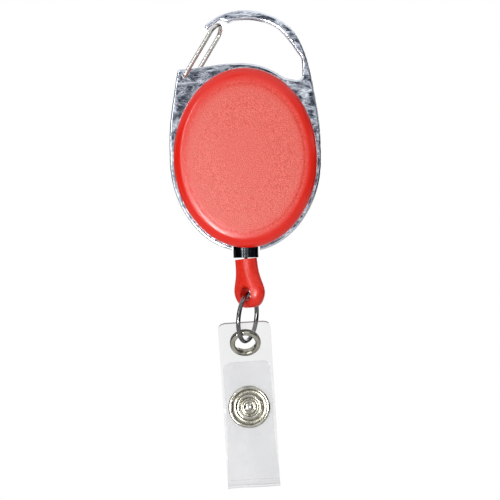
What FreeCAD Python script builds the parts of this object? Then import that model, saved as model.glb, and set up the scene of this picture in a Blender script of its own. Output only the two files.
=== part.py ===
import FreeCAD, Part
import math
import os

from FreeCAD import Matrix, Placement, Rotation, Vector

# A retractable badge reel that hangs from its own spring-gate hook.
# Millimetres. +X is to the right seen from the front, +Y is to the back, +Z is up.
# The origin is the top of the hook's inner curve, where the reel hangs from a belt loop.

# Frame: one die-cast plate that is the hook, the shoulders and the rim round both covers
plate_t = 3.2            # thickness of the plate
rim_half_w = 17.1        # half the width of the oval rim
rim_half_h = 21.2        # half the height of the oval rim
rim_land = 0.9           # width of rim that shows round a cover
ledge_w = 1.8            # width of the ledge that a cover sits on
seat_depth = 0.5         # how deep a cover's edge is let into the plate
opening_h = 9.9          # from the hook's seat down to the frame's top edge
head_land = 1.2          # frame that shows between its top edge and a cover
hook_bar = 2.05          # thickness of the hook at its top, seen from the front
edge_round = 0.4         # rounding of the plate's edges
nose_r = 0.55            # rounding of the hook's nose
pocket_r = 1.3           # rounding of the opening's lower right corner
shoulder_r = 0.9         # rounding of the frame's top left corner
shoulder_in = 2.2        # how far the top left corner stands in from the rim's width
shoulder_z = -11.05      # height of the top left corner
pivot_in = 1.5           # gate pivot to the corner, across
pivot_down = 1.65        # gate pivot to the corner, down

# Covers: two moulded oval shells
cover_h = 4.0            # how far a cover stands off the plate's face
cover_wall = 1.2
cover_round = 2.4        # rounding of a cover's outer edge
back_skim = 0.05         # planed off the rear cover, to make its back true
pad_in = 2.9             # rim band of a cover, outside the raised face
pad_rise = 0.4           # how far the raised face is crowned
pad_step = 0.12          # step up at the raised face's edge
pin_r = 0.8              # locating pins of the front cover
socket_wall = 0.5        # wall of the rear cover's sockets round the pins
pin_fit = 0.02           # radial clearance of a pin in its socket
pin_angle = 61           # degrees, from the long side towards the ends
pin_margin = 1.9         # pin to the window's edge
pin_reach = 3.6          # how far a pin goes into its socket

# Axle and spool
axle_r = 2.0
axle_fit = 0.08          # radial running clearance of the spool on the axle
axle_slot = 0.5          # slot for the spring's inner end
axle_boss_wall = 1.1     # ring in the front cover that takes the axle's tip
spool_gap = 0.8          # spool to the window and to the pins' sockets
spool_w = 5.8            # across both flanges
flange_t = 0.8
flange_in = 3.2          # how far a flange stands out beyond the drum
drum_wall = 1.0
spring_cover_t = 0.5
spring_cover_bore = 2.9
face_play = 0.1

# Power spring
spring_t = 0.14
spring_turns = 7
spring_side_gap = 0.25
spring_inner_r = 2.7

# Cord
cord_d = 0.8
cord_length = 610.0      # let out, with the piece that stays in the reel
cord_side_gap = 0.05
cord_bend_r = 3.0        # bend over the ferrule's mouth

# Ferrule that guides the cord out
neck_x = -0.4            # it sits a little to one side in its loose seat
neck_r = 2.85
neck_bore = 0.9
neck_out = 2.2           # how far it stands out below the covers
neck_flange_r = 3.6
neck_flange_t = 0.9
neck_fit = 0.05
neck_gap = 0.35          # frame to ferrule

# Cord end: the moulded drop that hides the knot and carries the ring
drop_gap = 0.27
drop_lean = 5.0          # degrees, its foot to the right
drop_yaw = 41.0          # degrees, its flat front face to the left
drop_len = 11.1
drop_top_half_w = 2.65
drop_top_half_t = 2.3
drop_half_w = 4.1
drop_half_t = 2.4
drop_hole_r = 1.6
drop_hole_flare = 0.75
drop_hole_down = 8.0     # hole centre from the top
knot_r = 1.0
knot_room = 0.25
knot_down = 4.2          # knot centre from the top

# Ring
ring_r = 5.4             # to the middle of the wire
ring_wire_r = 0.5
ring_yaw = 22.0
ring_lean = 6.9          # degrees, its top to the right
ring_split = 0.12        # open gap between the wire's ends
ring_split_at = 130.0    # degrees from the top, towards the back

# Strap: one strip of clear vinyl, folded up at its foot
strap_w = 11.9
flap_w = 10.8
vinyl_t = 0.5
strap_lean = 2.3         # degrees, its foot to the right
strap_top = 5.6          # from the eyelet to the top edge
strap_tilt = 33.0        # degrees that the strap's top leans forward
strap_flat = 3.7         # flat below the eyelet before it bends down
strap_bend_r = 5.0
strap_foot = 33.0        # from the eyelet down to the fold's foot
strap_corner_r = 1.6
layer_gap = 2.4          # between the two layers of vinyl
flap_top = 4.3           # flap's top edge below the eyelet
eyelet_below_wire = 0.3

# Eyelet
eyelet_hole_r = 2.3
eyelet_wall = 0.35
eyelet_flange_r = 3.5
eyelet_roll_h = 0.5

# Snap fastener
snap_down = 14.6         # from the eyelet
snap_r = 4.75
snap_flange_t = 0.35
snap_rim_h = 0.75
stud_r = 1.5
stud_neck_r = 1.25
stud_reach = 1.5
snap_play = 0.15
socket_r = 4.1
socket_well_r = 2.25
snap_post_r = 1.0

# Gate: one bent spring wire
gate_wire_r = 0.5
gate_side_gap = 0.2      # wire to the plate's faces
gate_pin_depth = 1.2
gate_pin_fit = 0.05
gate_bend_r = 0.8
gate_leg_step = 1.8      # rear leg stands to the right of the front leg by this
gate_rear_up = 0.6       # rear foot stands this much higher along the leg
gate_swing = 34.0        # degrees inward
gate_slot_gap = 0.2
gate_top_x = -5.2        # middle of the gate's top loop
gate_top_z = -1.27

# Worked-out sizes that several pieces share
face_y = plate_t / 2
cover_half_w = rim_half_w - rim_land
cover_half_h = rim_half_h - rim_land
body_z = -(opening_h + head_land + cover_half_h)
seat_y = face_y - seat_depth
back_y = face_y + cover_h
window_half_w = cover_half_w - ledge_w
window_half_h = cover_half_h - ledge_w
inner_y = back_y - cover_wall
inner_half_w = cover_half_w - cover_wall
cover_stretch = cover_half_h / cover_half_w
inner_half_h = inner_half_w * cover_stretch
pin_x = (window_half_w - pin_margin) * math.cos(math.radians(pin_angle))
pin_z = (window_half_h - pin_margin) * math.sin(math.radians(pin_angle))
socket_gap = math.hypot(pin_x, pin_z) - pin_r - pin_fit - socket_wall
spool_r = min(window_half_w, window_half_h, socket_gap) - spool_gap
drum_r = spool_r - flange_in
groove_w = spool_w - 2 * flange_t
winding_area = cord_length * cord_d ** 2
winding_r = math.sqrt(drum_r ** 2 + winding_area / (math.pi * groove_w))
run_r = winding_r + cord_d / 2 + cord_side_gap
cover_foot_z = body_z - cover_half_h
neck_foot_z = cover_foot_z - neck_out
neck_seat_z = body_z - inner_half_h
neck_top_z = neck_seat_z + neck_flange_t
pivot_x = -(rim_half_w - shoulder_in - pivot_in)
pivot_z = shoulder_z - pivot_down
leg_y = face_y + gate_side_gap + gate_wire_r
drop_place = Placement(
    Vector(neck_x, 0, neck_foot_z - drop_gap),
    Rotation(Vector(0, 1, 0), -drop_lean) * Rotation(Vector(0, 0, 1), -drop_yaw),
)
hole_centre = drop_place.multVec(Vector(0, 0, -drop_hole_down))
ring_turn = Rotation(Vector(0, 1, 0), ring_lean) * Rotation(Vector(0, 0, 1), -ring_yaw)
ring_centre = hole_centre - ring_turn.multVec(Vector(0, 0, ring_r))
ring_foot = ring_centre - ring_turn.multVec(Vector(0, 0, ring_r))
strap_place = Placement(
    ring_foot - Vector(0, 0, eyelet_below_wire),
    Rotation(Vector(0, 1, 0), -strap_lean),
)
eyelet_place = strap_place * Placement(Vector(), Rotation(Vector(1, 0, 0), strap_tilt))
tilt = math.radians(strap_tilt)
back_layer_y = strap_flat * math.sin(tilt) + strap_bend_r * (1 - math.cos(tilt))
front_layer_y = back_layer_y - layer_gap - vinyl_t
fold_r = (layer_gap + vinyl_t) / 2
fold_y = (back_layer_y + front_layer_y) / 2
fold_z = -(strap_foot - fold_r - vinyl_t / 2)


def flat(x, z, y=0.0):
    return Vector(x, y, z)


def line(a, b):
    return Part.makeLine(a, b)


def arc(a, b, c):
    return Part.Arc(a, b, c).toShape()


def curve(points, start=None, end=None):
    smooth = Part.BSplineCurve()
    if start is None:
        smooth.interpolate(Points=points)
    else:
        smooth.interpolate(Points=points, InitialTangent=start, FinalTangent=end)
    return smooth.toShape()


def slab(edges, y0, y1):
    face = Part.Face(Part.Wire(edges))
    face.translate(Vector(0, y0, 0))
    return face.extrude(Vector(0, y1 - y0, 0))


def oval(half_w, half_h, y0, y1):
    side = flat(half_w, body_z)
    top = flat(0, body_z + half_h)
    centre = flat(0, body_z)
    long_end, short_end = (top, side) if half_h > half_w else (side, top)
    ring = Part.Ellipse(long_end, short_end, centre).toShape()
    return slab([ring], y0, y1)


def rod(radius, y0, y1, x=0.0, z=0.0):
    return Part.makeCylinder(radius, y1 - y0, Vector(x, y0, z), Vector(0, 1, 0))


def upright(radius, z0, z1, x=0.0, y=0.0):
    return Part.makeCylinder(radius, z1 - z0, Vector(x, y, z0), Vector(0, 0, 1))


def edges_at(shape, y):
    level = []
    for edge in shape.Edges:
        box = edge.BoundBox
        if abs(box.YMin - y) < 1e-4 and abs(box.YMax - y) < 1e-4:
            level.append(edge)
    return level


def turned(points, axis_point, axis):
    """A solid of revolution from a closed outline in the plane of its axis."""
    face = Part.Face(Part.makePolygon(points + [points[0]]))
    return face.revolve(axis_point, axis, 360)


def turned_y(profile, x=0.0, z=0.0):
    """Outline given as (radius, y) pairs, turned about a line along Y."""
    points = [Vector(x + radius, y, z) for radius, y in profile]
    return turned(points, Vector(x, 0, z), Vector(0, 1, 0))


def wire_sweep(edges, radius):
    """Round wire along straight runs and tangent arcs."""
    path = Part.Wire(edges)
    start = path.OrderedEdges[0]
    where = start.valueAt(start.FirstParameter)
    along = start.tangentAt(start.FirstParameter)
    ring = Part.Wire([Part.makeCircle(radius, where, along)])
    return path.makePipeShell([ring], True, True)


def bent_path(corners, radii):
    """Straight runs between the corners, each inner corner rounded by a tangent arc."""
    edges = []
    last = corners[0]
    for before, corner, after, radius in zip(corners, corners[1:], corners[2:], radii):
        back = (before - corner).normalize()
        on = (after - corner).normalize()
        half = back.getAngle(on) / 2
        reach = radius / math.tan(half)
        first = corner + back * reach
        final = corner + on * reach
        inward = (back + on).normalize()
        middle = corner + inward * (radius / math.sin(half) - radius)
        edges.append(line(last, first))
        edges.append(arc(first, middle, final))
        last = final
    edges.append(line(last, corners[-1]))
    return edges


def save(shape, node):
    solid = shape.Solids[0] if len(shape.Solids) == 1 else shape
    solid.exportStep("parts/" + node + ".step")


os.makedirs("parts", exist_ok=True)


def towards(a, b):
    return (b - a).normalize()


def frame_outline():
    w = rim_half_w
    right = flat(w, body_z)
    left = flat(-w, body_z)
    nose_along = flat(-0.8, -0.6)
    nose_across = flat(-0.6, 0.8)
    nose = flat(-7.95, -1.45)
    nose_out = nose + nose_across * nose_r
    nose_tip = nose + nose_along * nose_r
    nose_in = nose - nose_across * nose_r
    notch = nose_in - nose_along * 3.15
    bump = flat(-3.2, -0.7)
    bump_end = flat(-1.7, -0.05)
    seat_start = flat(-0.5, 0)
    pocket_top = flat(w - 3.75, -opening_h - 1.9)
    pocket_corner = flat(w - 3.85, -opening_h - 4.45)
    pocket_foot = flat(w - 7.0, -opening_h - 3.75)
    head = flat(-1.0, -opening_h)
    corner = flat(-w + shoulder_in, shoulder_z)
    corner_in = corner + flat(2.2, 0.14)
    corner_out = corner + flat(-0.4, -2.4)
    outside = [
        right,
        flat(w - 0.15, -24.5),
        flat(w - 1.1, -17.2),
        flat(w - 2.9, -8.6),
        flat(w - 6.2, -2.25),
        flat(6.7, 0.6),
        flat(0.4, hook_bar),
        flat(-5.4, 0.85),
        nose_out,
    ]
    inside = [
        seat_start,
        flat(4.4, -0.5),
        flat(w - 7.8, -3.5),
        flat(w - 4.9, -7.5),
        pocket_top,
    ]
    top_edge = [
        pocket_foot,
        flat(w - 9.7, -opening_h - 2.35),
        flat(2.9, -opening_h - 0.45),
        head,
        corner_in,
    ]
    side = [
        corner_out,
        flat(-w + 1.1, -17.6),
        flat(-w + 0.15, -24.5),
        left,
    ]
    edges = [curve(outside, flat(0, 1), nose_along)]
    edges.append(arc(nose_out, nose_tip, nose_in))
    edges.extend(bent_path([nose_in, notch, bump, bump_end, seat_start], [0.45, 1.2, 1.5]))
    edges.append(curve(inside, towards(bump_end, seat_start), towards(pocket_top, pocket_corner)))
    edges.extend(bent_path([pocket_top, pocket_corner, pocket_foot], [pocket_r]))
    edges.append(curve(top_edge, towards(pocket_corner, pocket_foot), towards(corner_in, corner)))
    edges.extend(bent_path([corner_in, corner, corner_out], [shoulder_r]))
    edges.append(curve(side, towards(corner, corner_out), flat(0, -1)))
    edges.append(Part.ArcOfEllipse(rim_ellipse(), *foot_angles()).toShape())
    return edges


def rim_ellipse():
    top = flat(0, body_z + rim_half_h)
    side = flat(rim_half_w, body_z)
    centre = flat(0, body_z)
    if rim_half_h > rim_half_w:
        return Part.Ellipse(top, side, centre)
    return Part.Ellipse(side, top, centre)


def foot_angles():
    """Ellipse parameters of its lower half, from whichever end its long axis starts at."""
    ellipse = rim_ellipse()
    at_right = ellipse.parameter(flat(rim_half_w, body_z))
    at_left = ellipse.parameter(flat(-rim_half_w, body_z))
    at_foot = ellipse.parameter(flat(0, body_z - rim_half_h))
    low = min(at_right, at_left)
    high = max(at_right, at_left)
    if low < at_foot < high:
        return low, high
    return high, low + 2 * math.pi


def gate_frame():
    """The direction up the gate's legs, and square to it towards the right."""
    pivot = flat(pivot_x, pivot_z)
    top = flat(gate_top_x, gate_top_z)
    half_step = gate_leg_step / 2
    span = top - pivot
    lean = math.atan2(span.z, span.x) + math.asin(half_step / span.Length)
    up = flat(math.cos(lean), math.sin(lean))
    side = flat(math.sin(lean), -math.cos(lean))
    rise = math.sqrt(span.Length ** 2 - half_step ** 2)
    return pivot, up, side, rise


def make_frame():
    plate = slab(frame_outline(), -face_y, face_y)
    outer_edges = edges_at(plate, -face_y) + edges_at(plate, face_y)
    plate = plate.makeFillet(edge_round, outer_edges)
    plate = plate.cut(oval(window_half_w, window_half_h, -face_y, face_y))
    plate = plate.cut(oval(cover_half_w, cover_half_h, -face_y, -seat_y))
    plate = plate.cut(oval(cover_half_w, cover_half_h, seat_y, face_y))
    slot_w = 2 * (neck_r + neck_gap)
    slot = Part.makeBox(slot_w, plate_t, rim_half_h)
    slot.translate(Vector(neck_x - slot_w / 2, -face_y, body_z - rim_half_h - 1))
    plate = plate.cut(slot.common(oval(rim_half_w + 1, rim_half_h + 1, -face_y, face_y)))
    flange_room = upright(neck_flange_r + neck_fit, neck_seat_z - neck_fit, neck_top_z + 1, neck_x)
    plate = plate.cut(flange_room)
    pivot, up, side, rise = gate_frame()
    front_hole = rod(gate_wire_r + gate_pin_fit, -face_y, gate_pin_depth - face_y + 0.1, pivot.x, pivot.z)
    plate = plate.cut(front_hole)
    return plate.cut(rear_slot())


def rear_slot():
    """Curved slot in the back face that lets the gate's rear foot travel with the swing."""
    pivot, up, side, rise = gate_frame()
    foot = side * gate_leg_step + up * gate_rear_up
    reach = foot.Length
    start = math.degrees(math.atan2(foot.z, foot.x))
    half_w = gate_wire_r + gate_slot_gap
    y0 = face_y - gate_pin_depth - 0.1
    blade = rod(reach + half_w, y0, face_y, pivot.x, pivot.z)
    blade = blade.cut(rod(reach - half_w, y0, face_y, pivot.x, pivot.z))
    wedge_r = 2 * (reach + half_w)
    tips = []
    for angle in (start, start - gate_swing):
        tips.append(pivot + flat(math.cos(math.radians(angle)), math.sin(math.radians(angle))) * wedge_r)
    wedge = slab([line(pivot, tips[0]), line(tips[0], tips[1]), line(tips[1], pivot)], y0, face_y)
    slot = blade.common(wedge)
    for angle in (start, start - gate_swing):
        end = pivot + flat(math.cos(math.radians(angle)), math.sin(math.radians(angle))) * reach
        slot = slot.fuse(rod(half_w, y0, face_y, end.x, end.z))
    return slot


def make_gate():
    pivot, up, side, rise = gate_frame()
    front = Vector(0, -leg_y, 0)
    rear = Vector(0, leg_y, 0)
    rear_foot = pivot + side * gate_leg_step + up * gate_rear_up
    pin_end = Vector(0, face_y - gate_pin_depth, 0)
    across = (rear - front) + side * gate_leg_step
    loop_r = across.Length / 2
    straight = rise - loop_r
    front_top = pivot + front + up * straight
    rear_top = pivot + rear + side * gate_leg_step + up * straight
    apex = pivot + side * (gate_leg_step / 2) + up * rise
    front_leg = bent_path([pivot - pin_end, pivot + front, front_top], [gate_bend_r])
    loop = [arc(front_top, apex, rear_top)]
    rear_leg = bent_path([rear_top, rear_foot + rear, rear_foot + pin_end], [gate_bend_r])
    return wire_sweep(front_leg + loop + rear_leg, gate_wire_r)


def neck_hole():
    shaft = upright(neck_r + neck_fit, cover_foot_z - 1, neck_top_z, neck_x)
    flange = upright(neck_flange_r + neck_fit, neck_seat_z - neck_fit, neck_top_z + neck_fit, neck_x)
    return shaft.fuse(flange)


def pin_places():
    places = []
    for across in (-1, 1):
        for along in (-1, 1):
            places.append((across * pin_x, body_z + along * pin_z))
    return places


def quarter(centre_r, centre_y, radius, sign):
    """Quarter round of a cover's edge, from its side wall to its face."""
    corner = math.radians(45)
    return arc(
        Vector(centre_r + radius, centre_y, 0),
        Vector(centre_r + radius * math.cos(corner), centre_y + sign * radius * math.sin(corner), 0),
        Vector(centre_r, centre_y + sign * radius, 0),
    )


def cover_shell(sign, deep, face_edges):
    """Hollow oval cover, deep at its rim: a round shell, turned and then stretched; sign is -1 in front."""
    w = cover_half_w
    hollow_w = inner_half_w
    mouth = sign * seat_y
    bend_y = sign * (deep - cover_round)
    inner_round = cover_round - cover_wall
    inner_bend_y = sign * (inner_y - inner_round)
    edges = [
        line(Vector(hollow_w, mouth, 0), Vector(w, mouth, 0)),
        line(Vector(w, mouth, 0), Vector(w, bend_y, 0)),
        quarter(w - cover_round, bend_y, cover_round, sign),
    ]
    edges.extend(face_edges)
    edges.extend([
        line(face_edges[-1].valueAt(face_edges[-1].LastParameter), Vector(0, sign * inner_y, 0)),
        line(Vector(0, sign * inner_y, 0), Vector(hollow_w - inner_round, sign * inner_y, 0)),
        quarter(hollow_w - inner_round, inner_bend_y, inner_round, sign),
        line(Vector(hollow_w, inner_bend_y, 0), Vector(hollow_w, mouth, 0)),
    ])
    face = Part.Face(Part.Wire(Part.__sortEdges__(edges)))
    shell = face.revolve(Vector(), Vector(0, 1, 0), 360)
    stretch = Matrix()
    stretch.scale(1, 1, cover_stretch)
    shell = shell.transformGeometry(stretch)
    shell.translate(flat(0, body_z))
    return shell.cut(neck_hole())


def make_front_cover():
    band = Vector(cover_half_w - cover_round, -back_y, 0)
    pad_r = cover_half_w - pad_in
    pad_foot = Vector(pad_r, -back_y, 0)
    pad_edge = Vector(pad_r - pad_step, -back_y - pad_step, 0)
    crown = Vector(0, -back_y - pad_rise, 0)
    crown_r = (pad_edge.x ** 2 + (pad_rise - pad_step) ** 2) / (2 * (pad_rise - pad_step))
    half_x = pad_edge.x / 2
    crown_mid = Vector(half_x, crown.y + crown_r - math.sqrt(crown_r ** 2 - half_x ** 2), 0)
    faces = [line(band, pad_foot), line(pad_foot, pad_edge), arc(pad_edge, crown_mid, crown)]
    shell = cover_shell(-1, back_y, faces)
    boss = rod(axle_r + axle_fit + axle_boss_wall, -inner_y - 0.2, -spool_w / 2 - face_play * 3, z=body_z)
    shell = shell.fuse(boss)
    shell = shell.cut(rod(axle_r + axle_fit, -inner_y + face_play, -spool_w / 2, z=body_z))
    for x, z in pin_places():
        shell = shell.fuse(rod(pin_r, -inner_y - 0.2, pin_reach - seat_y, x, z))
    return shell


def make_rear_cover():
    deep = back_y + back_skim
    band = Vector(cover_half_w - cover_round, deep, 0)
    shell = cover_shell(1, deep, [line(band, Vector(0, deep, 0))])
    skim = Part.makeBox(4 * cover_half_w, cover_round, 4 * cover_half_h)
    skim.translate(Vector(-2 * cover_half_w, back_y, body_z - 2 * cover_half_h))
    shell = shell.cut(skim)
    axle = rod(axle_r, -inner_y + 2 * face_play, inner_y + 0.2, z=body_z)
    slot = Part.makeBox(axle_slot, inner_y + spool_w / 2, 2 * axle_r + 1)
    slot.translate(Vector(-axle_slot / 2, -inner_y, body_z - axle_r - 0.5))
    shell = shell.fuse(axle.cut(slot))
    for x, z in pin_places():
        socket = rod(pin_r + pin_fit + socket_wall, -seat_y, inner_y + 0.2, x, z)
        bore = rod(pin_r + pin_fit, -seat_y, pin_reach - seat_y + 2 * face_play, x, z)
        shell = shell.fuse(socket).cut(bore)
    return shell


def make_ferrule():
    chamfer = neck_bore
    body = upright(neck_r, neck_foot_z, neck_top_z, neck_x)
    body = body.fuse(upright(neck_flange_r, neck_seat_z, neck_top_z, neck_x))
    body = body.removeSplitter()
    body = body.cut(upright(neck_bore, neck_foot_z, neck_top_z, neck_x))
    mouth = Part.makeCone(neck_bore, neck_bore + chamfer, chamfer, Vector(neck_x, 0, neck_top_z - chamfer))
    return body.cut(mouth)


def make_spool():
    half = spool_w / 2
    body = turned_y([
        (axle_r + axle_fit, -half),
        (spool_r, -half),
        (spool_r, -half + flange_t),
        (drum_r, -half + flange_t),
        (drum_r, half - flange_t),
        (spool_r, half - flange_t),
        (spool_r, half),
        (drum_r - drum_wall, half),
        (drum_r - drum_wall, -half + flange_t),
        (axle_r + axle_fit, -half + flange_t),
    ], z=body_z)
    notch = Part.makeBox(drum_wall / 2 + 0.4, spool_w - flange_t, 4 * spring_t)
    notch.translate(Vector(drum_r - drum_wall - 0.4, -half + flange_t, body_z))
    return body.cut(notch)


def make_spring_cover():
    half = spool_w / 2
    return turned_y([
        (spring_cover_bore, half - spring_cover_t),
        (drum_r - drum_wall, half - spring_cover_t),
        (drum_r - drum_wall, half),
        (spring_cover_bore, half),
    ], z=body_z)


def make_power_spring():
    """Flat steel ribbon, wound from the axle's slot out to the drum wall."""
    low = -spool_w / 2 + flange_t + spring_side_gap
    high = spool_w / 2 - spring_cover_t - spring_side_gap
    outer_r = drum_r - drum_wall - 2 * spring_t
    turn = 2 * math.pi
    steps = 16 * spring_turns
    edges = []
    sides = []
    for offset in (0, spring_t):
        points = []
        for step in range(steps + 1):
            angle = turn * spring_turns * step / steps
            radius = spring_inner_r + (outer_r - spring_inner_r) * step / steps + offset
            points.append(flat(radius * math.cos(angle), body_z + radius * math.sin(angle)))
        sides.append(points)
        edges.append(curve(points))
    edges.append(line(sides[0][0], sides[1][0]))
    edges.append(line(sides[0][-1], sides[1][-1]))
    wire = Part.Wire(Part.__sortEdges__(edges))
    face = Part.Face(wire)
    face.translate(Vector(0, low, 0))
    return face.extrude(Vector(0, high - low, 0))


def make_cord_winding():
    half = groove_w / 2 - cord_side_gap
    low = drum_r + cord_side_gap
    return turned_y([(low, -half), (winding_r, -half), (winding_r, half), (low, half)], z=body_z)


def cord_path():
    """From the top of the winding, over the ferrule's mouth and down to the knot."""
    mouth = flat(neck_x, neck_top_z + cord_d)
    centre = flat(0, body_z)
    span = mouth - centre
    swing = math.acos(run_r / span.Length)
    aim = math.atan2(span.z, span.x) - swing
    leave = centre + flat(math.cos(aim), math.sin(aim)) * run_r
    elbow = flat(neck_x, neck_foot_z)
    knot = drop_place.multVec(Vector(0, 0, -knot_down + knot_r / 2))
    return bent_path([leave, mouth, elbow, knot], [cord_bend_r, cord_bend_r])


def make_cord_run():
    return wire_sweep(cord_path(), cord_d / 2)


def knot_centre():
    return drop_place.multVec(Vector(0, 0, -knot_down))


def make_cord_knot():
    ball = Part.makeSphere(knot_r, knot_centre())
    return ball.cut(make_cord_run())


def drop_section(half_w, half_t, z):
    ring = Part.Ellipse(Vector(half_w, 0, z), Vector(0, half_t, z), Vector(0, 0, z))
    return Part.Wire([ring.toShape()])


def make_drop():
    """Moulded drop in its own frame: top at the origin, flat faces towards Y."""
    top_w = drop_top_half_w
    top_t = drop_top_half_t
    wide_z = -drop_hole_down + 0.6
    body = Part.makeLoft([
        drop_section(top_w, top_t, 0),
        drop_section(top_w + 0.05, top_t + 0.02, -1.5),
        drop_section(top_w + 0.45, top_t + 0.05, -4.0),
        drop_section(drop_half_w, drop_half_t, wide_z),
        drop_section(drop_half_w - 0.35, drop_half_t - 0.15, wide_z - 1.6),
        drop_section(drop_half_w - 1.5, drop_half_t - 0.7, -drop_len + 0.55),
        drop_section(drop_half_w - 2.9, drop_half_t - 1.5, -drop_len),
    ], True, False)
    flare = drop_hole_flare
    reach = drop_half_t + 0.4
    start = reach - flare - 0.5
    hole = turned_y([
        (0, -reach),
        (drop_hole_r + flare + 0.3, -reach),
        (drop_hole_r + flare * 0.35, -start - flare * 0.45),
        (drop_hole_r, -start),
        (drop_hole_r, start),
        (drop_hole_r + flare * 0.35, start + flare * 0.45),
        (drop_hole_r + flare + 0.3, reach),
        (0, reach),
    ], z=-drop_hole_down)
    body = body.cut(hole)
    body = body.cut(upright(cord_d / 2 + 0.2, -drop_len / 2, 1))
    room_r = knot_r + knot_room
    shoulder = -knot_down + knot_r + 0.05
    body = body.cut(upright(room_r, -drop_hole_down, shoulder))
    body.Placement = drop_place
    return body


def make_ring():
    """Round wire ring in its own frame round X, split so that it can be threaded on."""
    split_deg = math.degrees(ring_split / ring_r)
    path_start = 90 - ring_split_at + split_deg / 2
    ring = Part.makeTorus(ring_r, ring_wire_r, Vector(), Vector(1, 0, 0), -180, 180, 360 - split_deg)
    axis = Vector(1, 0, 0)
    ring.Placement = Placement(ring_centre, ring_turn) * Placement(Vector(), Rotation(axis, path_start))
    return ring


def in_strap(shape):
    shape.Placement = strap_place * shape.Placement
    return shape


def in_eyelet(shape):
    shape.Placement = eyelet_place * shape.Placement
    return shape


def strap_profile():
    """Side view of the back layer's middle line, top to fold, in the strap's frame."""
    up = Vector(0, -math.sin(tilt), math.cos(tilt))
    down = up * -1
    top = up * strap_top
    bend_start = down * strap_flat
    inward = Vector(0, -math.cos(tilt), -math.sin(tilt))
    centre = bend_start + inward * strap_bend_r
    half = tilt / 2
    bend_mid = centre + Vector(0, math.cos(half), math.sin(half)) * strap_bend_r
    bend_end = centre + Vector(0, strap_bend_r, 0)
    foot = Vector(0, back_layer_y, fold_z)
    return [line(top, bend_start), arc(bend_start, bend_mid, bend_end), line(bend_end, foot)]


def ribbon(edges, width):
    """Flat strip of vinyl that follows a side-view line."""
    path = Part.Wire(edges)
    start = path.OrderedEdges[0]
    where = start.valueAt(start.FirstParameter)
    along = start.tangentAt(start.FirstParameter)
    across = Vector(1, 0, 0)
    thick = along.cross(across).normalize() * (vinyl_t / 2)
    half = across * (width / 2)
    corners = [where - half - thick, where + half - thick, where + half + thick, where - half + thick]
    section = Part.makePolygon(corners + [corners[0]])
    return path.makePipeShell([section], True, False)


def round_corners(strip, direction):
    """Rounds the two corners at the strip's free end."""
    edges = []
    for edge in strip.Edges:
        if abs(edge.Length - vinyl_t) < 1e-3:
            edges.append(edge)
    far = max(edge.CenterOfMass.dot(direction) for edge in edges)
    ends = [edge for edge in edges if far - edge.CenterOfMass.dot(direction) < 0.6 * vinyl_t]
    return strip.makeFillet(strap_corner_r, ends)


def make_strap_back():
    strip = ribbon(strap_profile(), strap_w)
    up = Vector(0, -math.sin(tilt), math.cos(tilt))
    strip = round_corners(strip, up)
    hole = rod(eyelet_hole_r + eyelet_wall, -2, 2)
    hole.Placement = Placement(Vector(), Rotation(Vector(1, 0, 0), strap_tilt))
    strip = strip.cut(hole)
    return in_strap(strip.cut(rod(snap_post_r, back_layer_y - 1, back_layer_y + 1, z=-snap_down)))


def make_strap_fold():
    back = Vector(0, back_layer_y, fold_z)
    foot = Vector(0, fold_y, fold_z - fold_r)
    front = Vector(0, front_layer_y, fold_z)
    return in_strap(ribbon([arc(back, foot, front)], flap_w))


def make_strap_flap():
    start = Vector(0, front_layer_y, fold_z)
    end = Vector(0, front_layer_y, -flap_top)
    strip = round_corners(ribbon([line(end, start)], flap_w), Vector(0, 0, 1))
    return in_strap(strip.cut(rod(snap_post_r, front_layer_y - 1, front_layer_y + 1, z=-snap_down)))


def make_eyelet():
    half = vinyl_t / 2
    bore = eyelet_hole_r
    barrel = bore + eyelet_wall
    rim = eyelet_flange_r
    roll = eyelet_roll_h
    back = half + eyelet_wall + 0.25
    return in_eyelet(turned_y([
        (bore, -half - roll * 0.6),
        (bore + 0.25, -half - roll * 0.95),
        (bore + 0.65, -half - roll),
        (rim - 0.35, -half - roll * 0.75),
        (rim - 0.05, -half - roll * 0.4),
        (rim, -half),
        (barrel, -half),
        (barrel, back - 0.15),
        (barrel + 0.2, back - 0.15),
        (barrel + 0.1, back + 0.05),
        (bore + 0.1, back + 0.1),
        (bore, back),
    ]))


def make_eyelet_washer():
    half = vinyl_t / 2
    barrel = eyelet_hole_r + eyelet_wall
    rim = eyelet_flange_r
    return in_eyelet(turned_y([
        (barrel, half),
        (rim, half),
        (rim - 0.1, half + 0.3),
        (barrel + 0.2, half + eyelet_wall),
        (barrel, half + eyelet_wall),
    ]))


def make_snap_ring():
    """Dished ring in front of the flap; its hollow post goes through and holds the stud."""
    skin = front_layer_y - vinyl_t / 2
    foot = skin + vinyl_t + snap_flange_t
    return in_strap(turned_y([
        (0, skin - 0.12),
        (0, skin - 0.3),
        (0.55, skin - 0.45),
        (1.15, skin - 0.3),
        (1.5, skin - 0.22),
        (2.1, skin - 0.22),
        (2.55, skin - 0.5),
        (2.9, skin - 0.5),
        (3.2, skin - 0.25),
        (3.9, skin - 0.25),
        (4.15, skin - snap_rim_h),
        (4.5, skin - snap_rim_h),
        (snap_r, skin - 0.45),
        (snap_r - 0.05, skin - 0.1),
        (snap_r - 0.3, skin),
        (snap_post_r, skin),
        (snap_post_r, foot),
        (snap_post_r - 0.25, foot),
        (snap_post_r - 0.25, skin - 0.12),
    ], z=-snap_down))


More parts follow.
